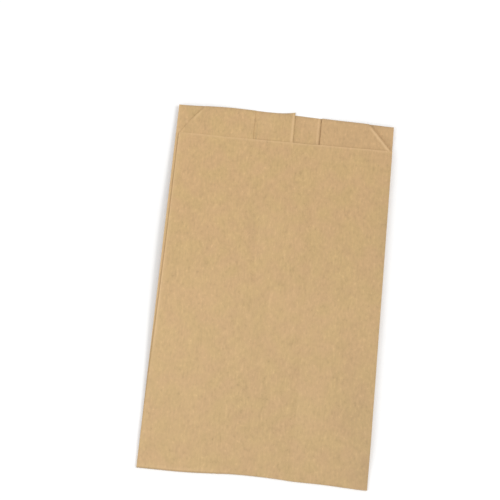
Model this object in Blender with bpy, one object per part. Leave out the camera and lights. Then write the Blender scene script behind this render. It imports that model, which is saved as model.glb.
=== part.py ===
"""A gusseted paper bag, folded flat and lying on its rear panel with the front panel up.

One sheet of kraft paper makes the whole bag. It is glued into a tube by a lap seam in the rear
panel, tucked in at both sides and folded over once at the bottom. At the mouth the rear panel
and the gussets reach past the front panel and form a lip, and the upper ply of each gusset is
cut off slantwise at its outer corner.

Metres, +Z up, the mouth towards +Y. The origin is the middle of the footprint, on the surface
that the bag lies on. The sheet is followed round the tube station by station, and each station
is carried from the mouth down through the bottom fold to the free end of the flap.
"""
from math import pi

import bmesh
import bpy
import numpy as np

# The bag as it is folded
BAG_WIDTH = 0.200
FRONT_LENGTH = 0.313
LIP_DEPTH = 0.024
LEFT_CHAMFER_WIDTH = 0.023
RIGHT_CHAMFER_WIDTH = 0.020
LEFT_GUSSET_DEPTH = 0.0710
RIGHT_GUSSET_DEPTH = 0.0675
SEAM_RIGHT_OF_MIDDLE = 0.008
LAP_WIDTH = 0.023
FLAP_DEPTH = 0.0195

# The paper and the air between its plies
PAPER = 0.00015
GAP_AT_BOTTOM = 0.00006
GAP_AT_MOUTH = 0.00040
GAP_OPENS_OVER = 0.080
FLAP_CLEARANCE = 0.00008
LAP_EDGE_RUN = 0.00005
LAP_RAMP = 0.003

# How the bag lies: the front sinks between the gussets and the left side springs up a little
SINK_SHARE = 0.5
SINK_RAMP = 0.010
SEAT_RAMP = 0.030
LEFT_LIFT = 0.0050
LIFT_STARTS_AT_X = -0.022
LIFT_PEAK_AT = 0.205
LIFT_SHARE_AT_MOUTH = 0.55

# How the cuts and folds run out of true: the front's cut slants down to the left, its left fold
# lies inside the rear's, and the lip's edge and the bottom fold bow towards the mouth
FRONT_CUT_SLANT = 0.0027
FRONT_FOLD_INSET = 0.0020
INSET_OPENS_OVER = 0.100
SEAM_MISMATCH = 0.0024
MOUTH_BOW = 0.0028
MOUTH_BOW_AT_X = -0.045
BOTTOM_BOW = 0.0028
BOTTOM_BOW_AT_X = -0.005
BOTTOM_BOW_TO_LEFT = 0.065
BOTTOM_BOW_TO_RIGHT = 0.105

# How finely the curves are divided
FOLD_SEGMENTS = 4
CHAMFER_SEGMENTS = 2
GUSSET_SEGMENTS = 3
MIDDLE_SEGMENTS = 4
BODY_ROWS = 9
LIP_ROWS = 3
BOTTOM_FOLD_ROWS = 6
FLAP_ROWS = 2

# Kraft paper
KRAFT_COLOUR = (0.60, 0.40, 0.21, 1.0)
KRAFT_ROUGHNESS = 0.8

HALF_WIDTH = BAG_WIDTH / 2
LIP_LENGTH = FRONT_LENGTH + LIP_DEPTH
STACK_AT_BOTTOM = 4 * PAPER + 3 * GAP_AT_BOTTOM
SEAT_HEIGHT = STACK_AT_BOTTOM + 2 * FLAP_CLEARANCE
REAR, LOWER_GUSSET, UPPER_GUSSET, FRONT = 0, 1, 2, 3


def ease(share):
    """A smooth step from 0 to 1 as share goes from 0 to 1, flat at both ends."""
    held = np.clip(share, 0.0, 1.0)
    return held * held * (3.0 - 2.0 * held)


def hump(x, peak_at, left_end, right_end):
    """A squared cosine that is 1 at peak_at and dies out at left_end and right_end."""
    reach = np.where(x < peak_at, peak_at - left_end, right_end - peak_at)
    return np.cos(np.clip(np.abs(x - peak_at) / reach, 0.0, 1.0) * pi / 2) ** 2


def ply_gap(along):
    """The air between two plies, which opens from the bottom fold towards the mouth."""
    return GAP_AT_BOTTOM + (GAP_AT_MOUTH - GAP_AT_BOTTOM) * ease(along / GAP_OPENS_OVER)


def side_lift(x, along):
    """How far the left side springs up, most at LIFT_PEAK_AT and nothing at the bottom fold."""
    across = ease((LIFT_STARTS_AT_X - x) / (LIFT_STARTS_AT_X + HALF_WIDTH))
    lift_from = FLAP_DEPTH + SEAT_RAMP
    rising = ease((along - lift_from) / (LIFT_PEAK_AT - lift_from))
    falling = ease((along - LIFT_PEAK_AT) / (LIP_LENGTH - LIFT_PEAK_AT))
    return LEFT_LIFT * across * rising * (1.0 - (1.0 - LIFT_SHARE_AT_MOUTH) * falling)


def seat_lift(along):
    """The rear panel is lifted by the flap under it and comes down to the table past the flap."""
    return SEAT_HEIGHT * (1.0 - ease((along - FLAP_DEPTH) / SEAT_RAMP))


def bottom_bow(x, along):
    """How far a point moves towards the mouth because the bottom fold is not quite straight."""
    left_end = BOTTOM_BOW_AT_X - BOTTOM_BOW_TO_LEFT
    right_end = BOTTOM_BOW_AT_X + BOTTOM_BOW_TO_RIGHT
    share = 1.0 - np.clip(along / LIP_LENGTH, 0.0, 1.0)
    return BOTTOM_BOW * hump(x, BOTTOM_BOW_AT_X, left_end, right_end) * share


def front_length(x):
    """The front panel's length at x, along its slightly slanting cut."""
    return FRONT_LENGTH - FRONT_CUT_SLANT * (HALF_WIDTH - x) / BAG_WIDTH


def lip_length(x):
    """The sheet's length at x, with its bowed cut and the left sheet's corner over the lap."""
    length = LIP_LENGTH + MOUTH_BOW * float(hump(x, MOUTH_BOW_AT_X, -HALF_WIDTH, HALF_WIDTH))
    if x > SEAM_RIGHT_OF_MIDDLE:
        return length
    over_lap = max(0.0, 1.0 - (SEAM_RIGHT_OF_MIDDLE - x) / LAP_WIDTH)
    return length + SEAM_MISMATCH * over_lap**2


def chamfer_width(side):
    return LEFT_CHAMFER_WIDTH if side < 0 else RIGHT_CHAMFER_WIDTH


def chamfered_length(x):
    """The upper gusset ply: the front panel's length at the side fold, the lip's at the chamfer."""
    share = min(1.0, (HALF_WIDTH - abs(x)) / chamfer_width(x))
    return front_length(x) + (lip_length(x) - front_length(x)) * share


class Section:
    """The stations of the sheet round the tube, from the seam leftwards and back to the seam."""

    def __init__(self):
        self.stations = []

    def add(self, x, level, heading, length, pull=0.0, turn=0.0, outer_rise=0, inner_rise=0):
        """One station.

        x and pull place it: pull times the fold's outer radius is added to x. turn is 1 where
        the sheet folds away from its outer face, -1 where it folds towards it, 0 where it is
        flat. The rises are the papers that lie under and over it in the lap. The front panel's
        left fold lies inside the rear panel's, and inset marks its stations.
        """
        inset = 1.0 if level > 1.5 and x <= -HALF_WIDTH else 0.0
        station = (x, pull, level, heading, turn, length, outer_rise, inner_rise, inset)
        self.stations.append(station)

    def fold(self, x, level, start, end, pull, turn, length):
        """The stations inside a half-round fold, whose heading goes from start to end."""
        for step in range(1, FOLD_SEGMENTS):
            heading = start + (end - start) * step / FOLD_SEGMENTS
            self.add(x, level, heading, length, pull=pull, turn=turn)

    def flat(self, columns, level, heading, length):
        """A flat run of one ply. length is a function of x."""
        for x, pull in columns:
            self.add(x, level, heading, length(x), pull=pull)

    def table(self):
        """The stations as one array for each of their values."""
        return [np.array(values, dtype=float) for values in zip(*self.stations)]


def gusset_columns(side, depth):
    """Columns from the side fold to the gusset's inner fold. side is -1 on the left, 1 on the right."""
    side_x = side * HALF_WIDTH
    chamfer_x = side_x - side * chamfer_width(side)
    tip_x = side_x - side * depth
    columns = [(side_x, -side)]
    for step in range(1, CHAMFER_SEGMENTS + 1):
        columns.append((side_x + (chamfer_x - side_x) * step / CHAMFER_SEGMENTS, 0.0))
    for step in range(1, GUSSET_SEGMENTS):
        columns.append((chamfer_x + (tip_x - chamfer_x) * step / GUSSET_SEGMENTS, 0.0))
    columns.append((tip_x, side))
    return columns


def half_section(section, side, columns):
    """One gusset with its side folds, from the rear ply up to the front ply on the left, or down."""
    side_x, side_pull = columns[0]
    tip_x, tip_pull = columns[-1]
    if side < 0:
        section.flat(columns[::-1], REAR, pi, lip_length)
        section.fold(side_x, 0.5, pi, 0.0, side_pull, 1.0, lip_length(side_x))
        section.flat(columns, LOWER_GUSSET, 0.0, lip_length)
        section.fold(tip_x, 1.5, 0.0, pi, tip_pull, -1.0, lip_length(tip_x))
        section.flat(columns[::-1], UPPER_GUSSET, pi, chamfered_length)
        section.fold(side_x, 2.5, pi, 0.0, side_pull, 1.0, front_length(side_x))
        section.flat(columns, FRONT, 0.0, front_length)
    else:
        section.flat(columns[::-1], FRONT, 0.0, front_length)
        section.fold(side_x, 2.5, 0.0, -pi, side_pull, 1.0, front_length(side_x))
        section.flat(columns, UPPER_GUSSET, pi, chamfered_length)
        section.fold(tip_x, 1.5, pi, 2 * pi, tip_pull, -1.0, lip_length(tip_x))
        section.flat(columns[::-1], LOWER_GUSSET, 0.0, lip_length)
        section.fold(side_x, 0.5, 0.0, -pi, side_pull, 1.0, lip_length(side_x))
        section.flat(columns, REAR, pi, lip_length)


def tube_section():
    """The whole section: lap seam, left gusset, front panel, right gusset and back to the seam."""
    left = gusset_columns(-1, LEFT_GUSSET_DEPTH)
    right = gusset_columns(1, RIGHT_GUSSET_DEPTH)
    seam_x = SEAM_RIGHT_OF_MIDDLE
    hidden_x = seam_x - LAP_WIDTH
    section = Section()
    for x in (seam_x, (seam_x + hidden_x) / 2, hidden_x):
        section.add(x, REAR, pi, lip_length(x), inner_rise=1)
    section.add(
        hidden_x - LAP_EDGE_RUN, REAR, pi, lip_length(hidden_x), outer_rise=1, inner_rise=1
    )
    landing_x = hidden_x - LAP_RAMP
    section.add(landing_x, REAR, pi, lip_length(landing_x))
    half_section(section, -1, left)
    left_tip, right_tip = left[-1][0], right[-1][0]
    first = left_tip + SINK_RAMP
    last = right_tip - SINK_RAMP
    for x in np.linspace(first, last, MIDDLE_SEGMENTS + 1):
        section.add(x, FRONT, 0.0, front_length(x))
    half_section(section, 1, right)
    seam_foot = seam_x + LAP_EDGE_RUN
    for x in ((right_tip + seam_foot) / 2, seam_foot):
        section.add(x, REAR, pi, lip_length(x))
    return section.table()


def sheet_point(stations, along, face):
    """Where the stations' outer face (1), middle (0) or inner face (-1) is, before it is bent."""
    x, pull, level, heading, turn, _, outer_rise, inner_rise, inset = stations
    pitch = PAPER + ply_gap(along)
    radius = pitch / 2
    normal_x = -np.sin(heading)
    normal_z = np.cos(heading)
    across = x + pull * (radius + PAPER / 2) + turn * radius * normal_x
    across = across + inset * FRONT_FOLD_INSET * ease(along / INSET_OPENS_OVER)
    height = PAPER / 2 + level * pitch + turn * radius * normal_z
    left_tip = LEFT_GUSSET_DEPTH - HALF_WIDTH
    right_tip = HALF_WIDTH - RIGHT_GUSSET_DEPTH
    between = np.minimum(across - left_tip, right_tip - across)
    sink = SINK_SHARE * 2 * pitch * ease(between / SINK_RAMP)
    height = height - np.where(level == FRONT, sink, 0.0)
    rise = outer_rise if face > 0 else inner_rise
    height = height + (rise * PAPER if face else 0.0)
    return across + face * normal_x * PAPER / 2, height + face * normal_z * PAPER / 2


def body_row(stations, along, face):
    """A row across the flat body. along is each station's distance from the bottom fold."""
    across, height = sheet_point(stations, along, face)
    lift = side_lift(across, along) + seat_lift(along)
    return across, along + bottom_bow(across, along), height + lift


def wrapped_row(stations, angle, flap_share, face):
    """A row in the bottom fold, turned by angle, or at flap_share of the way along the flap."""
    zero = np.zeros_like(stations[0])
    across, height = sheet_point(stations, zero, face)
    _, middle = sheet_point(stations, zero, 0)
    radius = FLAP_CLEARANCE + height
    middle_radius = FLAP_CLEARANCE + middle
    flap_length = FLAP_DEPTH - pi * (middle_radius - FLAP_CLEARANCE - PAPER / 2)
    along = -radius * np.sin(angle) + flap_length * flap_share
    upward = -FLAP_CLEARANCE + radius * np.cos(angle) + SEAT_HEIGHT
    return across, along + bottom_bow(across, zero), upward


def body_distances(stations):
    """Distances from the bottom fold to the rows of the body, one array a row, mouth first."""
    length = stations[5]
    shared_end = FRONT_LENGTH - LIP_DEPTH
    ramp_end = FLAP_DEPTH + SEAT_RAMP
    shared = [0.0, FLAP_DEPTH / 2, FLAP_DEPTH, FLAP_DEPTH + SEAT_RAMP / 2]
    shared += list(np.linspace(ramp_end, shared_end, BODY_ROWS))
    rows = [np.full_like(length, distance) for distance in shared]
    for step in range(1, LIP_ROWS + 1):
        rows.append(shared_end + (length - shared_end) * step / LIP_ROWS)
    return rows[::-1]


def face_rows(stations, face):
    """All rows of one face of the sheet, from the mouth to the free end of the flap."""
    rows = [body_row(stations, along, face) for along in body_distances(stations)]
    for step in range(1, BOTTOM_FOLD_ROWS + 1):
        rows.append(wrapped_row(stations, pi * step / BOTTOM_FOLD_ROWS, 0.0, face))
    for step in range(1, FLAP_ROWS + 1):
        rows.append(wrapped_row(stations, pi, step / FLAP_ROWS, face))
    return np.array(rows).transpose(0, 2, 1)


def bridge(mesh, first, second):
    """Quads between two closed rings of vertices with as many vertices each."""
    count = len(first)
    for here in range(count):
        there = (here + 1) % count
        mesh.faces.new((first[here], first[there], second[there], second[here]))


def build_bag():
    """Loft the outer and the inner face of the sheet and close them at the two cut ends."""
    stations = tube_section()
    outer = face_rows(stations, 1)
    inner = face_rows(stations, -1)
    points = np.concatenate((outer, inner)).reshape(-1, 3)
    low, high = points.min(axis=0), points.max(axis=0)
    origin = np.array([(low[0] + high[0]) / 2, (low[1] + high[1]) / 2, 0.0])

    mesh = bmesh.new()
    outer_rings = [[mesh.verts.new(point) for point in row - origin] for row in outer]
    inner_rings = [[mesh.verts.new(point) for point in row - origin] for row in inner]
    for above, below in zip(outer_rings, outer_rings[1:]):
        bridge(mesh, above, below)
    for above, below in zip(inner_rings, inner_rings[1:]):
        bridge(mesh, below, above)
    bridge(mesh, inner_rings[0], outer_rings[0])
    bridge(mesh, outer_rings[-1], inner_rings[-1])
    bmesh.ops.recalc_face_normals(mesh, faces=mesh.faces)
    bmesh.ops.triangulate(mesh, faces=mesh.faces)

    data = bpy.data.meshes.new("bag")
    mesh.to_mesh(data)
    mesh.free()
    data.shade_smooth()
    data.set_sharp_from_angle(angle=pi / 5)
    return data


def kraft_paper():
    """Unbleached kraft paper: matt, light brown."""
    material = bpy.data.materials.new("kraft_paper")
    material.use_nodes = True
    shader = material.node_tree.nodes["Principled BSDF"]
    shader.inputs["Base Color"].default_value = KRAFT_COLOUR
    shader.inputs["Roughness"].default_value = KRAFT_ROUGHNESS
    shader.inputs["Metallic"].default_value = 0.0
    return material


def main():
    for leftover in list(bpy.data.objects):
        bpy.data.objects.remove(leftover)
    data = build_bag()
    data.materials.append(kraft_paper())
    bag = bpy.data.objects.new("bag", data)
    bpy.context.scene.collection.objects.link(bag)


main()
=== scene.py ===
"""The looks of a gusseted kraft paper bag that lies folded flat on a pale floor.

The bag is one sheet of paper, so it is one piece here: a surface worked out on a grid of
stations round the tube and rows along it, then given the paper's thickness. In the functions
x or across is the place across the bag, and along is the distance from the bottom fold
towards the mouth, both in metres.
"""

from collections import namedtuple
from math import pi, radians

import bpy
import numpy as np
from mathutils import Matrix, Vector


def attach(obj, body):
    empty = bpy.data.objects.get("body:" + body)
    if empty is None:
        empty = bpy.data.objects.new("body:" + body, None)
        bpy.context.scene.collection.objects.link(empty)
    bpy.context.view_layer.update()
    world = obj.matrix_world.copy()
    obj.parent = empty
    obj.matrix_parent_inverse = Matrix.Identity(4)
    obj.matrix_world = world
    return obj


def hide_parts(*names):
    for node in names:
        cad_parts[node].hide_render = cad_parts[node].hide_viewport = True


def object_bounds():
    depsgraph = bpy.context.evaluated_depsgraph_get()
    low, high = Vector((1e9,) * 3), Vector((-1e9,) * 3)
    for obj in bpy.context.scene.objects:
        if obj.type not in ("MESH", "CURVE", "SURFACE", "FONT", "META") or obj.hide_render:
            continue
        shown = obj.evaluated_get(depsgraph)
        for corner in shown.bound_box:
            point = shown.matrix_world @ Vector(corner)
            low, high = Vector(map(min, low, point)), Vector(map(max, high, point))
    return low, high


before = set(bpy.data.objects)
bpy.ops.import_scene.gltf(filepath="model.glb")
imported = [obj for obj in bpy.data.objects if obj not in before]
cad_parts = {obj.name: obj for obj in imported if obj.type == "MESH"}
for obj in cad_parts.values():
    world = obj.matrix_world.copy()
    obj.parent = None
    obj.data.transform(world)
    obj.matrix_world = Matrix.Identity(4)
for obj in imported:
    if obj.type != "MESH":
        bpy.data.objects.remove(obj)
cad_low, cad_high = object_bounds()

MM = 0.001

# The levels of the plies from the floor up, and of the folds halfway between them
REAR, LOWER_GUSSET, UPPER_GUSSET, FRONT = 0, 1, 2, 3
REAR_FOLD, INNER_FOLD, FRONT_FOLD = 0.5, 1.5, 2.5

# The bag as it is folded, in metres
HALF_WIDTH = (cad_high.x - cad_low.x) / 2
FRONT_LENGTH = 0.3126
LIP_DEPTH = 0.0244
LIP_LENGTH = FRONT_LENGTH + LIP_DEPTH
LEFT_CHAMFER_WIDTH = 0.024
RIGHT_CHAMFER_WIDTH = 0.0232
CHAMFER_FROM_SIDE = 0.0007
LEFT_GUSSET = 0.0710
RIGHT_GUSSET = 0.0671
LEFT_TIP_X = LEFT_GUSSET - HALF_WIDTH
RIGHT_TIP_X = HALF_WIDTH - RIGHT_GUSSET
SEAM_X = 0.008
LAP_WIDTH = 0.023
HIDDEN_EDGE_X = SEAM_X - LAP_WIDTH
FLAP_DEPTH = 0.0195

# The paper and the air between its plies
PAPER = 0.00015
GAP_AT_BOTTOM = 0.00006
GAP_AT_LEFT_SIDE = 0.00030
GAP_AT_LEFT_TIP = 0.00018
GAP_AT_RIGHT_TIP = 0.00055
GAP_AT_RIGHT_SIDE = 0.00085
GAP_OPENS_OVER = 0.045
FLAP_CLEARANCE = 0.00008
LAP_GLUE = 0.00003
LAP_RAMP = 0.003

# The lip's left part, pressed together: from where along the bag, and by what share
PRESSED_FROM_AT_LEFT_TIP = 0.326
PRESSED_FROM_AT_LEFT_SIDE = 0.310
PRESSED_OVER = 0.008
PRESSED_SHARE = 0.7

# How the bag lies
SINK_SHARE = 0.5
SINK_RAMP = 0.007
SEAT_RAMP = 0.030
LEFT_LIFT = 0.0058
LIFT_STARTS_AT_X = -0.022
LIFT_FROM = 0.010
LIFT_STEEPNESS = 0.7
LIFT_PEAK_AT = 0.205
LIFT_SHARE_AT_MOUTH = 0.55
RIGHT_LIFT = 0.0019
RIGHT_LIFT_STARTS_AT_X = 0.045

# How the cuts and folds run out of true
FRONT_CUT_SLANT = 0.0022
FRONT_CUT_BOW = 0.0013
FRONT_FOLD_INSET = 0.0027
INSET_REACH = 4 * FRONT_FOLD_INSET
INSET_OPENS_OVER = 0.220
SEAM_MISMATCH = 0.0024
MOUTH_BOW = 0.0028
MOUTH_BOW_AT_X = -0.045
MOUTH_FALL = 0.0010
MOUTH_FALLS_FROM_X = 0.057
BOTTOM_BOW = 0.0024
BOTTOM_BOW_AT_X = -0.005
BOTTOM_BOW_TO_LEFT = 0.065
BOTTOM_BOW_TO_RIGHT = 0.086
RIGHT_BOW = 0.00095
RIGHT_BOW_AT_X = 0.064
RIGHT_BOW_REACH = 0.0355

# Curled cut edges
CURL_REACH = 0.0030
CURL_FRONT = -0.00010
FRONT_SAG = 0.00070
FRONT_SAG_AT_X = 0.0205
FRONT_SAG_REACH = 0.0075
CURL_LIP = 0.00020
CURL_CHAMFER_LEFT = 0.00060
CURL_CHAMFER_RIGHT = 0.00120
CURLED_ONCE_CUT = 0.004
CURL_SEAM = 0.00060
SEAM_CURL_STARTS = (0.25, 0.30)
SEAM_CORNER_CURL = 0.00080
SEAM_CORNER_REACH = 2 * CURL_REACH

# The left chamfer is pressed down up to the first x and free from the second
LEFT_CHAMFER_PRESSED = (-0.089, -0.083)

# The chamfers' curl over the distance from the front's cut: from, to, share before, share after
CHAMFER_CURL = (0.0, 0.006, 0.5, 1.0)

# Pressed lines in the front over the folds beneath. Their strength changes along the bag:
# from, to, strength before, strength after
PRESSED_LINE_WIDTH = 0.0009
PRESSED_LINE_HEIGHT = 0.00004
LEFT_PRESSED_LINE = (0.02, 0.08, 1.0, 0.0)
SEAM_PRESSED_LINE = (0.15, 0.23, 0.35, 1.0)
RIGHT_PRESSED_LINE = (0.08, 0.14, 1.2, 0.3)
LINES_NEAR_MOUTH = (0.285, 0.305, 1.0, 1.8)
LINES_START_OVER = 0.01

# Slow cockling, as crossed waves: turns in radians per metre across and along, phase, height
COCKLE = 0.00030
COCKLE_STARTS_OVER = 0.04
COCKLE_WAVES = (
    (47.0, 11.0, 0.6, 1.0),
    (-19.0, 38.0, 2.1, 1.0),
    (83.0, -61.0, 4.0, 0.7),
)

# The soft crease in the front: its ends across and along
CREASE_FROM = (-0.0188, 0.246)
CREASE_TO = (-0.0160, 0.200)
CREASE_WIDTH = 0.0022
CREASE_DEPTH = 0.00012

# Pale lines painted as highlights along edges and folds: how wide they are and how far from an
# edge they run
RIM_WIDTH = 0.0010
HALO_WIDTH = 0.0009
CUT_HALO_WIDTH = 1.2 * HALO_WIDTH
HALO_INSIDE_CUT = 0.0007
HALO_INSIDE_CHAMFER = 0.0016
HALO_INSIDE_SEAM = 0.0015
HALO_BESIDE_RIGHT_TIP = 0.0026
LEFT_TIP_LINE_WIDTH = 0.0005
PRESSED_CUT_WIDTH = 0.00076
PAINTED_ONCE_CUT = 0.002
LIP_SEEN_OVER = 0.004
BOTTOM_LINE_ALONG = 0.0012

# How strong they are, and for those that change: from, to, strength before, strength after
HIGHLIGHT_LEFT_CHAMFER = 0.45
HIGHLIGHT_RIGHT_CHAMFER = 1.0
HIGHLIGHT_PRESSED_CUT = 0.6
HIGHLIGHT_SEAM = 0.75
HIGHLIGHT_RIGHT_TIP = 0.6
HIGHLIGHT_HIDDEN_EDGE = 0.45
HIGHLIGHT_LEFT_TIP = 0.25
HIGHLIGHT_FRONT_CUT = (-HALF_WIDTH, 0.02 - HALF_WIDTH, 0.187, 0.34)
HIGHLIGHT_LEFT_SIDE = (0.085, 0.135, 0.20, 0.85)
HIGHLIGHT_BOTTOM = (-0.06, 0.0, 0.45, 0.0)

# Dark lines painted as shade in the same way. The left tip's line is painted shade up to the
# first place along the bag and a painted highlight from the second.
LIP_DARK_WIDTH = 0.0011
SIDE_DARK_WIDTH = 0.0008
FOLD_DARK_WIDTH = 0.0003
LINE_BESIDE_LEFT_TIP = 0.0029
LINE_BESIDE_LEFT_TIP_WIDTH = 0.0006
LEFT_TIP_LINE_TURNS = (PRESSED_FROM_AT_LEFT_TIP, PRESSED_FROM_AT_LEFT_TIP + 0.004)
DARK_LEFT_TIP = 0.45
DARK_RIGHT_SIDE = 0.55
DARK_BOTTOM_FOLD = (-0.04, 0.04, 0.7, 0.2)

# Painted light and shade of the front and of the lip, as soft patches: place across and along,
# reach across and along, amount, pale above 0
FRONT_TONES = (
    (0.000, 0.140, 0.120, 0.045, 0.075),
    (-0.080, 0.068, 0.055, 0.095, 0.10),
    (-0.042, 0.250, 0.025, 0.018, -0.08),
    (0.082, 0.085, 0.014, 0.040, -0.10),
    (0.099, 0.015, 0.022, 0.040, -0.28),
    (0.100, 0.235, 0.012, 0.045, -0.26),
)
LIP_TONES = (
    (-0.085, 0.317, 0.006, 0.004, -0.24),
    (-0.036, 0.324, 0.004, 0.005, -0.15),
    (-0.018, 0.335, 0.008, 0.018, 0.19),
    (0.025, 0.333, 0.005, 0.008, 0.13),
    (0.065, 0.319, 0.005, 0.005, -0.18),
)

# Painted shade and light beside the crease and the right gusset: dark and its reach, pale and
# its reach
CREASE_TONES = (0.22, 0.006, 0.13, 0.026)
CREASE_TONE_SHARE = 0.7
GUSSET_TONES = (0.12, 0.003, 0.13, 0.024)
GUSSET_TONES_ALONG = 0.062
GUSSET_TONES_REACH = 0.034
TONE_STEP = 0.001

# How finely the surface is divided
COLUMN_STEP = 0.0026
HIDDEN_COLUMN_STEP = 0.0042
FOLD_SEGMENTS = 7
MOUTH_ROWS = (0.0, 0.0003, 0.0007, 0.0013, 0.0021, 0.0033, 0.0050, 0.0075)
BODY_ROWS = 106
ROWS_BY_BOTTOM = (0.0018, 0.0009, 0.0004, 0.0)
BOTTOM_FOLD_ROWS = 8
FLAP_ROWS = 5
PULL_SHARPNESS = 8
SHARP_ANGLE = radians(40)

# Extra stations, at these distances from a side, the seam, a gusset's tip or the hidden edge
SIDE_STEP = 0.0015
SIDE_STEPS = (0.0, 0.0005, 0.0010, SIDE_STEP, 0.0022)
LINE_STEPS = (-0.0015, -0.00075, 0.0, 0.00075, 0.0015)
LAP_STEPS = (0.0, 0.0005, 0.0011, 0.0017, 0.0023, 0.0032, 0.0045)
LEFT_TIP_STEPS = (0.0040, 0.0034, 0.0029, 0.0024, 0.0018, 0.0010, 0.0005, 0.0)
RIGHT_TIP_STEPS = (0.0, 0.0006, 0.0013, 0.0020, 0.0026, 0.0032, 0.0042)
HIDDEN_EDGE_STEPS = (0.0030, 0.0018, 0.0009, 0.0004, 0.0)

# Kraft paper's colours and roughness
KRAFT_RED = (0.553, 0.3585, 0.177, 1.0)
KRAFT_YELLOW = (0.543, 0.3665, 0.169, 1.0)
KRAFT_COOL = (0.455, 0.370, 0.233, 1.0)
# The colours of the painted highlights and the painted shade along edges and folds
HIGHLIGHT_COLOUR = (0.740, 0.505, 0.275, 1.0)
SHADE_COLOUR = (0.300, 0.212, 0.130, 1.0)
DARK_SPECK = (0.30, 0.19, 0.09, 1.0)
KRAFT_ROUGHNESS = 0.8
ROUGHNESS_SPREAD = 0.16

# Its grain: size, stretch across, along and upwards, detail, roughness
FLECK_GRAIN = (2.5 * MM, (1.0, 1.35, 1.0), 3.0, 0.6)
DASH_GRAIN = (2.3 * MM, (0.8, 2.0, 1.0), 0.0, 0.5)
FIBRE_GRAIN = (1.3 * MM, (0.8, 6.0, 1.0), 3.0, 0.5)
MOTTLE_GRAIN = (8 * MM, (0.8, 1.3, 1.0), 2.0, 0.5)
CLOUD_GRAIN = (30 * MM, (0.7, 1.3, 1.0), 2.0, 0.5)
WARMTH_GRAIN = (14 * MM, (1.0, 1.0, 1.0), 0.0, 0.5)
SPECK_GRAIN = (3.6 * MM, (1.0, 1.6, 1.0), 1.0, 0.5)

# How strong each is, and where a mask starts and is full
FLECKS = 0.21
FLECK_PEAKS = 8.0
FIBRES = 0.16
MOTTLE = 0.14
CLOUDS = 0.08
DASHES = 0.07
PALE_DASHES = (0.62, 0.80)
DARK_DASHES = (0.20, 0.38)
# Painted shade: how much darker the paper is painted at the right side, and lighter at the left, than
# in the middle
SHADE_TOWARDS_RIGHT = 0.018
WARM_SPOTS = (0.3, 0.7)
LIP_WARM_IN_Y = (0.139, 0.146)
LIP_WARM_IN_X = (0.0, 0.06)
COOLED = 0.1
COOLED_IN_Y = (0.09, -0.10)
SPECKS = 0.4
SPECK_PEAKS = (0.79, 0.84)
# The strengths of the painted highlights and the painted shade
HIGHLIGHT_STRENGTH = 0.8
SHADE_STRENGTH = 0.45
GRAIN_RELIEF = 0.5
BUMP_STRENGTH = 0.35
BUMP_DEPTH = 0.03 * MM

# Sockets of a Mix node that mixes colours
MIX_MASK, MIX_FIRST, MIX_SECOND, MIX_RESULT = 0, 6, 7, 2

# The floor
FLOOR_HALF_SIZE = 6.0
FLOOR_DROP = 0.00005
FLOOR_WHITE = (0.97, 0.97, 0.97, 1.0)
FLOOR_ROUGHNESS = 0.9

# The light
SKY_WHITE = (1.0, 1.0, 1.0, 1.0)
SKY_STRENGTH = 0.79
RIGHT_LAMP_PLACE = (3.0, 0.3, 3.2)
RIGHT_LAMP_SIZE = 1.6
RIGHT_LAMP_POWER = 56.0
LEFT_LAMP_PLACE = (-0.9, -0.5, 1.0)
LEFT_LAMP_SIZE = 0.8
LEFT_LAMP_POWER = 3.0

# The camera, as in the photograph. The focal length is in widths of the picture.
CAMERA_TILT = radians(16.95)
CAMERA_TURN = radians(0.276)
CAMERA_ROLL = radians(-6.061)
CAMERA_DISTANCE = 1.3609
CAMERA_TARGET = (-0.02131, 0.03455, 0.0)
FOCAL_LENGTH = 3.01416
SENSOR = 36.0
NEAREST_SEEN = 0.05
FARTHEST_SEEN = 30.0

Stations = namedtuple("Stations", "x pull level heading turn length over")


def ease(value, start, end):
    """A smooth step from 0 where value is start to 1 where it is end, flat at both ends."""
    share = np.clip((value - start) / (end - start), 0.0, 1.0)
    return share * share * (3.0 - 2.0 * share)


def shift(value, start, end, before, after):
    """A smooth step from before, where value is start, to after, where it is end."""
    return before + (after - before) * ease(value, start, end)


def hump(x, peak_at, to_left, to_right):
    """A squared cosine that is 1 at peak_at and dies out at to_left and to_right from it."""
    reach = np.where(x < peak_at, to_left, to_right)
    return np.cos(np.clip(np.abs(x - peak_at) / reach, 0.0, 1.0) * pi / 2) ** 2


def bell(distance, width):
    """A bell curve of distance that is 1 at 0 and falls to about a third at width."""
    return np.exp(-((distance / width) ** 2))


def front_length(x):
    """Length of the front panel at x: the cut slants down to the left and bows as a square."""
    share = x / HALF_WIDTH
    return FRONT_LENGTH - FRONT_CUT_SLANT * (1.0 - share) / 2 - FRONT_CUT_BOW * share**2


def lip_length(x):
    """Length of the rear panel and gussets at x: a hump on the left, a smooth fall at the right."""
    fall = MOUTH_FALL * ease(x, MOUTH_FALLS_FROM_X, HALF_WIDTH)
    bow = hump(x, MOUTH_BOW_AT_X, HALF_WIDTH + MOUTH_BOW_AT_X, HALF_WIDTH - MOUTH_BOW_AT_X)
    return LIP_LENGTH + MOUTH_BOW * bow - fall


def left_sheet_length(x):
    """Length of the left sheet in the lap: the lip plus a corner that rises as a square."""
    over_lap = np.clip(1.0 - (SEAM_X - x) / LAP_WIDTH, 0.0, 1.0)
    return lip_length(x) + SEAM_MISMATCH * over_lap**2


def chamfered_length(x):
    """Length of an upper gusset ply: straight from the front's cut by the side up to the lip."""
    width = np.where(x < 0, LEFT_CHAMFER_WIDTH, RIGHT_CHAMFER_WIDTH) - CHAMFER_FROM_SIDE
    share = np.clip((HALF_WIDTH - CHAMFER_FROM_SIDE - np.abs(x)) / width, 0.0, 1.0)
    return front_length(x) + (lip_length(x) - front_length(x)) * share


def columns(stops, step):
    """Places from the first stop to the last, all stops kept, no more than step apart."""
    places = [np.array(stops[:1])]
    for here, there in zip(stops, stops[1:]):
        count = max(1, int(np.ceil(abs(there - here) / step)))
        places.append(np.linspace(here, there, count + 1)[1:])
    return np.concatenate(places)


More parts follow.
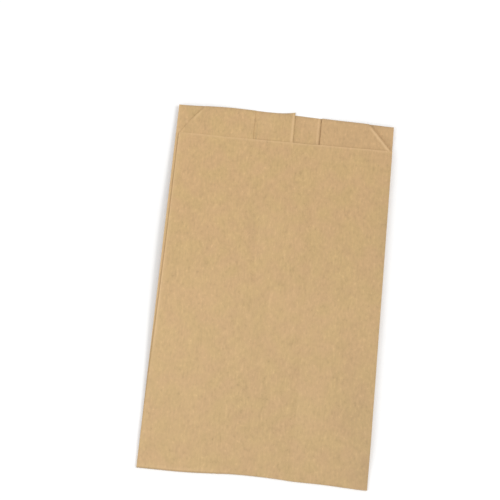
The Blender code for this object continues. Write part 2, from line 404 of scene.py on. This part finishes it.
def flat_run(stops, step, level, heading, length, pull=(0.0, 0.0), over=0.0):
    """A flat ply as rows of station values. Its pull dies out from each end as a power."""
    x = columns(stops, step)
    share = (x - x[0]) / (x[-1] - x[0])
    pulls = pull[0] * (1.0 - share) ** PULL_SHARPNESS + pull[1] * share**PULL_SHARPNESS
    full = np.ones_like(x)
    return np.stack([x, pulls, level * full, heading * full, 0 * full, length(x), over * full])


def fold_run(x, pull, level, start, end, turn, length):
    """A half-round fold: the heading turns evenly from start to end at one place."""
    heading = np.linspace(start, end, FOLD_SEGMENTS + 1)[1:-1]
    full = np.ones_like(heading)
    far = length(np.array([x]))[0]
    return np.stack([x * full, pull * full, level * full, heading, turn * full, far * full, 0 * full])


def tube_stations():
    """The sheet's stations in order, from its edge on top of the lap round to its hidden edge.

    x is the place across before bending, pull the share of a fold's reach by which the ply is
    drawn sideways, level the ply, heading and turn the place in a half-round fold, length the
    distance from the bottom fold to the cut, and over is 1 on top of the lap.
    """
    left, right, tip_l, tip_r = -HALF_WIDTH, HALF_WIDTH, LEFT_TIP_X, RIGHT_TIP_X
    cut_l, cut_r = left + LEFT_CHAMFER_WIDTH, right - RIGHT_CHAMFER_WIDTH
    side_l, side_r = left + SIDE_STEP, right - SIDE_STEP
    wide, fine = HIDDEN_COLUMN_STEP, COLUMN_STEP
    lines = [place + step for place in (tip_l, SEAM_X, tip_r) for step in LINE_STEPS]
    by_seam = [SEAM_X - step for step in LAP_STEPS]
    by_side = [left + step for step in SIDE_STEPS]
    by_tip_l = [tip_l + step for step in LEFT_TIP_STEPS]
    by_tip_r = [tip_r - step for step in RIGHT_TIP_STEPS]
    by_edge = [HIDDEN_EDGE_X + step for step in HIDDEN_EDGE_STEPS]
    rear_left = [HIDDEN_EDGE_X - LAP_RAMP, *by_tip_l, cut_l, side_l, left]
    rear_right = [right, side_r, cut_r, *by_tip_r, *by_edge]
    runs = [
        flat_run([*by_seam, HIDDEN_EDGE_X], wide, REAR, pi, left_sheet_length, over=1.0),
        flat_run(rear_left, wide, REAR, pi, lip_length, (0, 1)),
        fold_run(left, 1, REAR_FOLD, pi, 0.0, 1, lip_length),
        flat_run([*by_side, cut_l, tip_l], wide, LOWER_GUSSET, 0.0, lip_length, (1, -1)),
        fold_run(tip_l, -1, INNER_FOLD, 0.0, pi, -1, lip_length),
        flat_run([tip_l, cut_l, side_l, left], wide, UPPER_GUSSET, pi, chamfered_length, (-1, 1)),
        fold_run(left, 1, FRONT_FOLD, pi, 0.0, 1, front_length),
        flat_run([*by_side, *lines, side_r, right], fine, FRONT, 0.0, front_length, (1, -1)),
        fold_run(right, -1, FRONT_FOLD, 0.0, -pi, 1, front_length),
        flat_run([right, side_r, cut_r, tip_r], wide, UPPER_GUSSET, pi, chamfered_length, (-1, 1)),
        fold_run(tip_r, 1, INNER_FOLD, pi, 2 * pi, -1, lip_length),
        flat_run([tip_r, cut_r, side_r, right], wide, LOWER_GUSSET, 0.0, lip_length, (1, -1)),
        fold_run(right, -1, REAR_FOLD, 0.0, -pi, 1, lip_length),
        flat_run(rear_right, wide, REAR, pi, lip_length, (-1, 0)),
    ]
    return Stations(*np.concatenate(runs, axis=1))


def ply_gap(x, along):
    """Air between two plies, opening smoothly from the bottom.

    Smooth steps lead from the left side's gap to the left gusset's tip, from there to the right
    gusset's tip and on to the right side, where the folds spring open most. The lip's left part
    is pressed together.
    """
    to_left = ease(x, LEFT_TIP_X, -HALF_WIDTH)
    to_tip = ease(x, LEFT_TIP_X, RIGHT_TIP_X)
    to_right = ease(x, RIGHT_TIP_X, HALF_WIDTH)
    earlier = (PRESSED_FROM_AT_LEFT_TIP - PRESSED_FROM_AT_LEFT_SIDE) * to_left
    pressed_from = PRESSED_FROM_AT_LEFT_TIP - earlier
    pressed = 1.0 - PRESSED_SHARE * ease(along, pressed_from, pressed_from + PRESSED_OVER)
    open_gap = (GAP_AT_LEFT_TIP + (GAP_AT_LEFT_SIDE - GAP_AT_LEFT_TIP) * to_left) * pressed
    open_gap += (GAP_AT_RIGHT_TIP - GAP_AT_LEFT_TIP) * to_tip
    open_gap += (GAP_AT_RIGHT_SIDE - GAP_AT_RIGHT_TIP) * to_right
    return shift(along, 0.0, GAP_OPENS_OVER, GAP_AT_BOTTOM, open_gap)


def side_lift(x, along):
    """Smooth steps across to both sides. The left's rises and falls again along the bag."""
    to_left = ease(x, LIFT_STARTS_AT_X, -HALF_WIDTH)
    to_right = ease(x, RIGHT_LIFT_STARTS_AT_X, HALF_WIDTH)
    rising = ease(along, LIFT_FROM, LIFT_PEAK_AT) ** LIFT_STEEPNESS
    falling = shift(along, LIFT_PEAK_AT, LIP_LENGTH, 1.0, LIFT_SHARE_AT_MOUTH)
    left = LEFT_LIFT * to_left * rising * falling
    right = RIGHT_LIFT * to_right * ease(along, LIFT_FROM, LIFT_FROM + GAP_OPENS_OVER)
    return left + right


def cockle(x, along):
    """Slow undulation of the paper, 0 to 1: the sum of crossed sine waves, 60 to 150 mm long."""
    waves = np.zeros_like(x)
    highest = 0.0
    for turn_x, turn_along, phase, height in COCKLE_WAVES:
        waves += height * np.sin(x * turn_x + along * turn_along + phase)
        highest += height
    return 0.5 + waves / (2 * highest)


def pressed_lines(x, along):
    """Thin ridges in the front, bell curves across, that fade and grow along the bag."""
    left = bell(x - LEFT_TIP_X, PRESSED_LINE_WIDTH) * shift(along, *LEFT_PRESSED_LINE)
    seam = bell(x - SEAM_X, PRESSED_LINE_WIDTH) * shift(along, *SEAM_PRESSED_LINE)
    right = bell(x - RIGHT_TIP_X, PRESSED_LINE_WIDTH) * shift(along, *RIGHT_PRESSED_LINE)
    return PRESSED_LINE_HEIGHT * (left + seam + right) * shift(along, *LINES_NEAR_MOUTH)


def soft_crease(x, along):
    """A shallow valley along the straight line between the crease's two ends."""
    start, end = np.array(CREASE_FROM), np.array(CREASE_TO)
    way = end - start
    share = ((x - start[0]) * way[0] + (along - start[1]) * way[1]) / (way @ way)
    held = np.clip(share, 0.0, 1.0)
    off = np.hypot(x - start[0] - held * way[0], along - start[1] - held * way[1])
    return -CREASE_DEPTH * bell(off, CREASE_WIDTH)


def chamfered(x, stations, depth):
    """On an upper gusset ply a smooth step from 0 to 1 as the chamfer cuts it depth shorter."""
    return (stations.level == UPPER_GUSSET) * ease(lip_length(x) - stations.length, 0.0, depth)


def edge_curl(x, along, stations):
    """Cut edges curl up, the front's down: an exponential of the distance to the cut, by ply."""
    to_cut = stations.length - along
    free = ease(x, *LEFT_CHAMFER_PRESSED)
    chamfer = np.where(x < 0, CURL_CHAMFER_LEFT * free, CURL_CHAMFER_RIGHT)
    chamfer = chamfer * chamfered(x, stations, CURLED_ONCE_CUT)
    chamfer = chamfer * shift(stations.length - front_length(x), *CHAMFER_CURL)
    front = CURL_FRONT - FRONT_SAG * bell(x - FRONT_SAG_AT_X, FRONT_SAG_REACH)
    height = np.where(stations.level > UPPER_GUSSET, front, CURL_LIP + chamfer)
    curl = height * np.exp(-to_cut / CURL_REACH)
    to_seam = np.abs(SEAM_X - x)
    seam = CURL_SEAM * np.exp(-to_seam / CURL_REACH) * ease(along, *SEAM_CURL_STARTS)
    corner = SEAM_CORNER_CURL * np.exp(-np.hypot(to_seam, to_cut) / SEAM_CORNER_REACH)
    return curl + stations.over * (seam + corner)


def flat_section(stations, along):
    """Place across and height of the sheet's middle at every station and row, before bending.

    A ply lies at its level times the pitch of paper and gap. A fold adds a half circle whose
    radius is half the pitch. The front's left fold moves in, the front sinks between the
    gussets and the lap lies on the rear.
    """
    x, pull, level, heading, turn, _, over = stations
    pitch = PAPER + ply_gap(x, along)
    radius = pitch / 2
    across = x + pull * (radius + PAPER / 2) - turn * radius * np.sin(heading)
    inset = FRONT_FOLD_INSET * ease(along, 0.0, INSET_OPENS_OVER)
    near_side = np.clip(1.0 - (x + HALF_WIDTH) / INSET_REACH, 0.0, 1.0)
    across = across + (level >= UPPER_GUSSET) * inset * near_side
    height = PAPER / 2 + level * pitch + turn * radius * np.cos(heading)
    between = np.minimum(across - LEFT_TIP_X, RIGHT_TIP_X - across)
    height -= (level == FRONT) * SINK_SHARE * 2 * pitch * ease(between, 0.0, SINK_RAMP)
    height += over * (PAPER + LAP_GLUE)
    return across, height


def row_table(length):
    """Each row's distance from the bottom fold, by station, its turn there and its flap share."""
    near_mouth = np.array(MOUTH_ROWS)[:, None]
    body_start, body_end = 2 * ROWS_BY_BOTTOM[0], length - MOUTH_ROWS[-1]
    body = body_start + np.linspace(1.0, 0.0, BODY_ROWS + 1)[1:, None] * (body_end - body_start)
    near_bottom = np.array(ROWS_BY_BOTTOM)[:, None] * np.ones_like(length)
    along = np.concatenate([length - near_mouth, body, near_bottom])
    turned = np.linspace(0.0, pi, BOTTOM_FOLD_ROWS + 1)[1:]
    flap = np.linspace(0.0, 1.0, FLAP_ROWS + 1)[1:]
    extra = np.zeros((BOTTOM_FOLD_ROWS + FLAP_ROWS, length.size))
    angle = np.concatenate([np.zeros(len(along)), turned, pi * np.ones(FLAP_ROWS)])[:, None]
    share = np.concatenate([np.zeros(len(along) + BOTTOM_FOLD_ROWS), flap])[:, None]
    return np.concatenate([along, extra]), angle, share


def bag_surface():
    """The sheet as a grid of points, rows from the mouth to the flap's end, and its weights of
    painted light and shade.

    Body rows lie flat at their distance from the bottom fold. Rows past it turn about an axis
    just under the rear panel, each ply at its own radius, and then run back along the flap. Two
    humps bow the bottom edge in, and their share falls evenly to nothing at the mouth.
    """
    stations = tube_stations()
    along, angle, flap = row_table(stations.length)
    across, height = flat_section(stations, along)
    seat = (FRONT + 1) * PAPER + FRONT * GAP_AT_BOTTOM + 2 * FLAP_CLEARANCE
    raised = shift(along, FLAP_DEPTH, FLAP_DEPTH + SEAT_RAMP, seat, 0.0)
    relief = COCKLE * cockle(across, along) * ease(along, 0.0, COCKLE_STARTS_OVER)
    relief = relief * stations.level / FRONT + edge_curl(across, along, stations)
    on_front = pressed_lines(across, along) + soft_crease(across, along)
    relief += (stations.level == FRONT) * on_front * ease(along, 0.0, LINES_START_OVER)
    flat_z = height + raised + side_lift(across, along) + relief

    radius = FLAP_CLEARANCE + height
    flap_length = FLAP_DEPTH - pi * (height - PAPER / 2)
    wrapped_y = -radius * np.sin(angle) + flap_length * flap
    wrapped_z = seat - FLAP_CLEARANCE + radius * np.cos(angle)
    y = np.where(angle > 0, wrapped_y, along)
    z = np.where(angle > 0, wrapped_z, flat_z)
    bow = BOTTOM_BOW * hump(across, BOTTOM_BOW_AT_X, BOTTOM_BOW_TO_LEFT, BOTTOM_BOW_TO_RIGHT)
    bow += RIGHT_BOW * hump(across, RIGHT_BOW_AT_X, RIGHT_BOW_REACH, RIGHT_BOW_REACH)
    y = y + bow * (1.0 - np.clip(along / LIP_LENGTH, 0.0, 1.0))
    y = y - (y.min() - PAPER / 2) + cad_low.y

    return np.stack([across, y, z], axis=-1), painted_light_and_shade(stations, along, angle, across)


def rear_in_lip(stations, along):
    """1 on the rear ply past the front's cut, with a smooth step to 0 just under the front."""
    past_cut = along - front_length(stations.x)
    return (stations.level == REAR) * ease(past_cut, -LIP_SEEN_OVER, 0.0)


def pale_lines(stations, along, across):
    """Pale lines painted as highlights along edges and folds, 0 to 1, the strongest where they meet.

    Bell curves of the distance give the lines just inside the front's cut, the chamfers and the
    seam, beside the right gusset's tip, over the left one's and on the ply beneath the left
    chamfer where it is pressed down; these last two paint light over the shade there.
    Exponentials of it give those of the lap's hidden edge, the left side and the bottom edge's
    left part.
    """
    x, level = stations.x, stations.level
    to_cut = stations.length - along
    square_on = RIGHT_CHAMFER_WIDTH / np.hypot(LIP_DEPTH, RIGHT_CHAMFER_WIDTH)
    free = ease(x, *LEFT_CHAMFER_PRESSED)
    chamfer_highlight = np.where(x < 0, HIGHLIGHT_LEFT_CHAMFER * free, HIGHLIGHT_RIGHT_CHAMFER)
    chamfer_highlight = chamfer_highlight * chamfered(x, stations, PAINTED_ONCE_CUT)
    past_chamfer = along - chamfered_length(x)
    beneath = (level == LOWER_GUSSET) * (past_chamfer > 0) * (x < 0) * (1.0 - free)
    on_hidden = (level == REAR) * (stations.over == 0) * (x >= HIDDEN_EDGE_X)
    side_x = np.where(level > LOWER_GUSSET, FRONT_FOLD_INSET - HALF_WIDTH, -HALF_WIDTH)
    at_left = (x < 0) * (level > REAR)

    front_cut = bell(to_cut - HALO_INSIDE_CUT, CUT_HALO_WIDTH) * shift(x, *HIGHLIGHT_FRONT_CUT)
    front_cut = front_cut * (level > UPPER_GUSSET)
    chamfer_cut = bell(square_on * to_cut - HALO_INSIDE_CHAMFER, HALO_WIDTH) * chamfer_highlight
    # Painted light over the shade where the left chamfer is pressed down
    pressed_cut = HIGHLIGHT_PRESSED_CUT * bell(square_on * past_chamfer, PRESSED_CUT_WIDTH) * beneath
    seam = HIGHLIGHT_SEAM * bell(SEAM_X - x - HALO_INSIDE_SEAM, HALO_WIDTH) * stations.over
    right_tip = HIGHLIGHT_RIGHT_TIP * bell(RIGHT_TIP_X - x - HALO_BESIDE_RIGHT_TIP, HALO_WIDTH)
    right_tip = right_tip * rear_in_lip(stations, along)
    # Painted light over the shade along the left gusset's tip near the mouth
    left_tip = HIGHLIGHT_LEFT_TIP * bell(x - LEFT_TIP_X, LEFT_TIP_LINE_WIDTH)
    left_tip = left_tip * ease(along, *LEFT_TIP_LINE_TURNS)
    hidden_edge = HIGHLIGHT_HIDDEN_EDGE * np.exp((HIDDEN_EDGE_X - x) / RIM_WIDTH) * on_hidden
    left_side = np.exp(-np.abs(across - side_x) / RIM_WIDTH) * at_left
    left_side = left_side * shift(along, *HIGHLIGHT_LEFT_SIDE)
    bottom = np.exp(-np.abs(along - BOTTOM_LINE_ALONG) / RIM_WIDTH) * shift(x, *HIGHLIGHT_BOTTOM)

    pale = np.zeros_like(along)
    for line in (front_cut, chamfer_cut, pressed_cut, seam, right_tip, left_tip, hidden_edge,
                 left_side, bottom):
        pale = np.maximum(pale, line)
    return pale


def dark_lines(stations, along, angle, across):
    """Painted shade: dark lines, 0 to 1, the strongest where they meet.

    Exponentials of the distance give the lines of the lip's cut, the right side and the bottom
    fold, which stays dark all the way round. A bell curve gives the one beside the left gusset.
    """
    x, level = stations.x, stations.level
    lip_cut = np.exp(-(stations.length - along) / LIP_DARK_WIDTH) * (level <= UPPER_GUSSET)
    lip_cut = lip_cut * (1.0 - chamfered(x, stations, PAINTED_ONCE_CUT))
    fold = np.where(angle > 0, angle < pi, np.exp(-along / FOLD_DARK_WIDTH))
    fold = fold * shift(x, *DARK_BOTTOM_FOLD)
    beside_tip = bell(x - LEFT_TIP_X - LINE_BESIDE_LEFT_TIP, LINE_BESIDE_LEFT_TIP_WIDTH)
    beside_tip = beside_tip * rear_in_lip(stations, along) * DARK_LEFT_TIP
    beside_tip = beside_tip * (1.0 - ease(along, *LEFT_TIP_LINE_TURNS))
    side = np.exp(-np.abs(HALF_WIDTH - across) / SIDE_DARK_WIDTH) * (x > 0) * DARK_RIGHT_SIDE
    return np.maximum.reduce([lip_cut, fold, beside_tip, side])


def soft_patches(x, along, patches):
    """The sum of broad patches, each a bell curve across times a bell curve along."""
    tones = np.zeros_like(x)
    for at_x, at_along, reach_x, reach_along, amount in patches:
        tones += amount * bell(x - at_x, reach_x) * bell(along - at_along, reach_along)
    return tones


def soft_step(beside, dark, dark_reach, pale, pale_reach):
    """Painted shading by the distance to the right of a line: dark before it, pale past it, as bell
    curves.
    """
    past = ease(beside, -TONE_STEP, TONE_STEP)
    return past * pale * bell(beside, pale_reach) - (1.0 - past) * dark * bell(beside, dark_reach)


def front_tones(x, along):
    """Painted light and shade of the front: soft patches, and steps at the crease and the right
    gusset.
    """
    tones = soft_patches(x, along, FRONT_TONES)
    (start_x, start), (end_x, end) = CREASE_FROM, CREASE_TO
    beside_crease = x - start_x - (along - start) * (end_x - start_x) / (end - start)
    by_crease = bell(along - (start + end) / 2, CREASE_TONE_SHARE * (start - end))
    tones += by_crease * soft_step(beside_crease, *CREASE_TONES)
    by_gusset = bell(along - GUSSET_TONES_ALONG, GUSSET_TONES_REACH)
    tones += by_gusset * soft_step(x - RIGHT_TIP_X, *GUSSET_TONES)
    return tones


def painted_light_and_shade(stations, along, angle, across):
    """How far the paper is painted pale as a highlight, above 0, or painted dark as shade, below 0,
    with painted soft shading added.

    A pale line hides the dark one that it meets. The fold and the flap have no pale lines.
    """
    flat = angle <= 0
    pale = pale_lines(stations, along, across) * flat
    dark = dark_lines(stations, along, angle, across)
    lip = soft_patches(across, along, LIP_TONES)
    soft = np.where(stations.level > UPPER_GUSSET, front_tones(across, along), lip)
    return pale - dark * (1.0 - pale) + soft * flat


def grid_faces(rows, count):
    """Quads of a grid with rows rows of count points, facing the sheet's outer side."""
    index = np.arange(rows * count).reshape(rows, count)
    corners = (index[:-1, :-1], index[:-1, 1:], index[1:, 1:], index[1:, :-1])
    return np.stack(corners, axis=-1).reshape(-1, 4)


def paper_piece(name, points, light_and_shade, material):
    """A sheet through a grid of points, thickened to the paper's thickness on both sides."""
    rows, count, _ = points.shape
    mesh = bpy.data.meshes.new(name)
    mesh.from_pydata(points.reshape(-1, 3).tolist(), [], grid_faces(rows, count).tolist())
    # The attribute holds the painted highlights above 0, the painted shade below 0 and the painted
    # soft shading
    mesh.attributes.new("light_and_shade", "FLOAT", "POINT").data.foreach_set("value", light_and_shade.ravel())
    mesh.materials.append(material)
    piece = bpy.data.objects.new(name, mesh)
    bpy.context.scene.collection.objects.link(piece)
    thicken = piece.modifiers.new("paper", "SOLIDIFY")
    thicken.thickness = PAPER
    thicken.offset = 0.0
    bpy.context.view_layer.update()
    evaluated = piece.evaluated_get(bpy.context.evaluated_depsgraph_get())
    shaped = bpy.data.meshes.new_from_object(evaluated)
    piece.modifiers.clear()
    piece.data = shaped
    bpy.data.meshes.remove(mesh)
    shaped.name = name
    shaped.shade_smooth()
    shaped.set_sharp_from_angle(angle=SHARP_ANGLE)
    return piece


class Value:
    """A number socket in a material. Sums and products of values add their Math nodes."""

    def __init__(self, recipe, socket):
        self.recipe = recipe
        self.socket = socket

    def math(self, operation, first, second, clamp=False):
        """One Math node on two values or numbers."""
        settings = {"operation": operation, "use_clamp": clamp}
        return self.recipe.add("ShaderNodeMath", settings, {0: first, 1: second})

    def __add__(self, other):
        return self.math("ADD", self, other)

    def __sub__(self, other):
        return self.math("SUBTRACT", self, other)

    def __rsub__(self, other):
        return self.math("SUBTRACT", other, self)

    def __mul__(self, other):
        return self.math("MULTIPLY", self, other)

    __radd__ = __add__
    __rmul__ = __mul__

    def ramp(self, start, end):
        """0 where the value is start, 1 where it is end, straight between, held outside."""
        return self.math("MULTIPLY", self - start, 1.0 / (end - start), clamp=True)


class Recipe:
    """A material and the nodes that make its finish."""

    def __init__(self, name, roughness):
        self.material = bpy.data.materials.new(name)
        self.material.use_nodes = True
        self.tree = self.material.node_tree
        self.shader = self.tree.nodes["Principled BSDF"]
        self.shader.inputs["Roughness"].default_value = roughness
        self.shader.inputs["Metallic"].default_value = 0.0

    def set(self, node, key, value):
        """Links a value into a socket, or writes a plain number or colour there."""
        socket = node.inputs[key]
        if isinstance(value, Value):
            self.tree.links.new(value.socket, socket)
        else:
            socket.default_value = value

    def add(self, kind, settings=None, inputs=None, output=0):
        """One node: its settings are set first, then its sockets. Returns one of its outputs."""
        node = self.tree.nodes.new(kind)
        for key, value in (settings or {}).items():
            setattr(node, key, value)
        for key, value in (inputs or {}).items():
            self.set(node, key, value)
        return Value(self, node.outputs[output])

    def feed(self, socket, value):
        """Links a value into one of the shader's own sockets."""
        self.set(self.shader, socket, value)


def grain(recipe, place, size, stretch, detail, roughness):
    """Noise between 0 and 1 with features of about size metres, stretched along the axes."""
    scale = tuple(1.0 / (size * factor) for factor in stretch)
    mapped = recipe.add("ShaderNodeMapping", {}, {"Vector": place, "Scale": scale})
    inputs = {"Vector": mapped, "Scale": 1.0, "Detail": detail, "Roughness": roughness}
    return recipe.add("ShaderNodeTexNoise", {}, inputs)


def blend_colours(recipe, mask, first, second):
    """A colour that goes from first to second as mask goes from 0 to 1."""
    inputs = {MIX_MASK: mask, MIX_FIRST: first, MIX_SECOND: second}
    return recipe.add("ShaderNodeMix", {"data_type": "RGBA"}, inputs, output=MIX_RESULT)


def kraft_paper():
    """Unbleached kraft: even brown with flecks, upright fibres, mottle and specks, and painted light
    and shade.
    """
    recipe = Recipe("kraft_paper", KRAFT_ROUGHNESS)
    place = recipe.add("ShaderNodeTexCoord", output="Object")
    across = recipe.add("ShaderNodeSeparateXYZ", {}, {"Vector": place}, output="X")
    upward = recipe.add("ShaderNodeSeparateXYZ", {}, {"Vector": place}, output="Y")
    flecks = grain(recipe, place, *FLECK_GRAIN)
    dashes = grain(recipe, place, *DASH_GRAIN)
    fibres = grain(recipe, place, *FIBRE_GRAIN)
    mottle = grain(recipe, place, *MOTTLE_GRAIN)
    clouds = grain(recipe, place, *CLOUD_GRAIN)
    warmth = grain(recipe, place, *WARMTH_GRAIN)
    spots = grain(recipe, place, *SPECK_GRAIN)
    light_and_shade = recipe.add("ShaderNodeAttribute", {"attribute_name": "light_and_shade"}, output="Fac")

    spread = flecks - 0.5
    tone = 1.0 + spread * (spread * spread * FLECK_PEAKS + FLECKS) + (fibres - 0.5) * FIBRES
    tone = tone + (mottle - 0.5) * MOTTLE + (clouds - 0.5) * CLOUDS
    tone = tone + (dashes.ramp(*PALE_DASHES) + dashes.ramp(*DARK_DASHES) - 1.0) * DASHES
    # Painted shade: darker towards the right
    tone = tone - across * (SHADE_TOWARDS_RIGHT / HALF_WIDTH)

    warm = warmth.ramp(*WARM_SPOTS) + upward.ramp(*LIP_WARM_IN_Y) * across.ramp(*LIP_WARM_IN_X)
    tint = blend_colours(recipe, warm, KRAFT_YELLOW, KRAFT_RED)
    tint = blend_colours(recipe, upward.ramp(*COOLED_IN_Y) * COOLED, tint, KRAFT_COOL)
    toned = recipe.add("ShaderNodeVectorMath", {"operation": "SCALE"}, {0: tint, "Scale": tone})
    specked = blend_colours(recipe, spots.ramp(*SPECK_PEAKS) * SPECKS, toned, DARK_SPECK)
    # Painted highlights above 0 and painted shade below 0, from the bag's attribute
    highlighted = blend_colours(recipe, light_and_shade.ramp(0.0, 1.0) * HIGHLIGHT_STRENGTH, specked, HIGHLIGHT_COLOUR)
    shaded_edges = blend_colours(recipe, light_and_shade.ramp(0.0, -1.0) * SHADE_STRENGTH, highlighted, SHADE_COLOUR)
    recipe.feed("Base Color", shaded_edges)

    height = flecks * GRAIN_RELIEF + fibres * GRAIN_RELIEF
    bump = {"Strength": BUMP_STRENGTH, "Distance": BUMP_DEPTH, "Height": height}
    recipe.feed("Normal", recipe.add("ShaderNodeBump", {}, bump))
    recipe.feed("Roughness", (fibres - 0.5) * ROUGHNESS_SPREAD + KRAFT_ROUGHNESS)
    return recipe.material


def pale_floor():
    """A plain white floor just under the bag, with a matt finish."""
    recipe = Recipe("pale_floor", FLOOR_ROUGHNESS)
    recipe.shader.inputs["Base Color"].default_value = FLOOR_WHITE
    recipe.shader.inputs["Specular IOR Level"].default_value = 0.0
    mesh = bpy.data.meshes.new("floor")
    size = FLOOR_HALF_SIZE
    corners = [(-size, -size, -FLOOR_DROP), (size, -size, -FLOOR_DROP)]
    corners += [(size, size, -FLOOR_DROP), (-size, size, -FLOOR_DROP)]
    mesh.from_pydata(corners, [], [(0, 1, 2, 3)])
    mesh.materials.append(recipe.material)
    floor = bpy.data.objects.new("floor", mesh)
    bpy.context.scene.collection.objects.link(floor)


def soft_lamp(name, place, size, power):
    """A round lamp of the given size, turned to the middle of the bag."""
    lamp = bpy.data.lights.new(name, "AREA")
    lamp.shape = "DISK"
    lamp.size = size
    lamp.energy = power
    lit = bpy.data.objects.new(name, lamp)
    lit.location = place
    lit.rotation_euler = (-Vector(place)).to_track_quat("-Z", "Y").to_euler()
    bpy.context.scene.collection.objects.link(lit)


def studio_light():
    """An even white sky, a soft lamp far to the right and a weaker one close by on the left."""
    world = bpy.data.worlds.new("studio")
    world.use_nodes = True
    background = world.node_tree.nodes["Background"]
    background.inputs["Color"].default_value = SKY_WHITE
    background.inputs["Strength"].default_value = SKY_STRENGTH
    bpy.context.scene.world = world
    soft_lamp("far_right", RIGHT_LAMP_PLACE, RIGHT_LAMP_SIZE, RIGHT_LAMP_POWER)
    soft_lamp("near_left", LEFT_LAMP_PLACE, LEFT_LAMP_SIZE, LEFT_LAMP_POWER)


def photo_camera():
    """Looks down at the bag from its bottom end, at the photograph's tilt, turn and distance."""
    turn = Matrix.Rotation(-CAMERA_TURN, 3, "Z") @ Matrix.Rotation(CAMERA_TILT, 3, "X")
    turn = turn @ Matrix.Rotation(-CAMERA_ROLL, 3, "Z")
    data = bpy.data.cameras.new("photo_camera")
    data.sensor_width = SENSOR
    data.lens = SENSOR * FOCAL_LENGTH
    data.clip_start = NEAREST_SEEN
    data.clip_end = FARTHEST_SEEN
    camera = bpy.data.objects.new("photo_camera", data)
    place = Vector(CAMERA_TARGET) + turn @ Vector((0.0, 0.0, CAMERA_DISTANCE))
    camera.matrix_world = Matrix.Translation(place) @ turn.to_4x4()
    bpy.context.scene.collection.objects.link(camera)
    bpy.context.scene.camera = camera


photo_camera()
studio_light()
pale_floor()
points, light_and_shade = bag_surface()
bag = paper_piece("kraft_bag", points, light_and_shade, kraft_paper())
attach(bag, "root")
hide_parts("bag")

bpy.context.scene.view_settings.view_transform = "Standard"
bpy.context.view_layer.update()
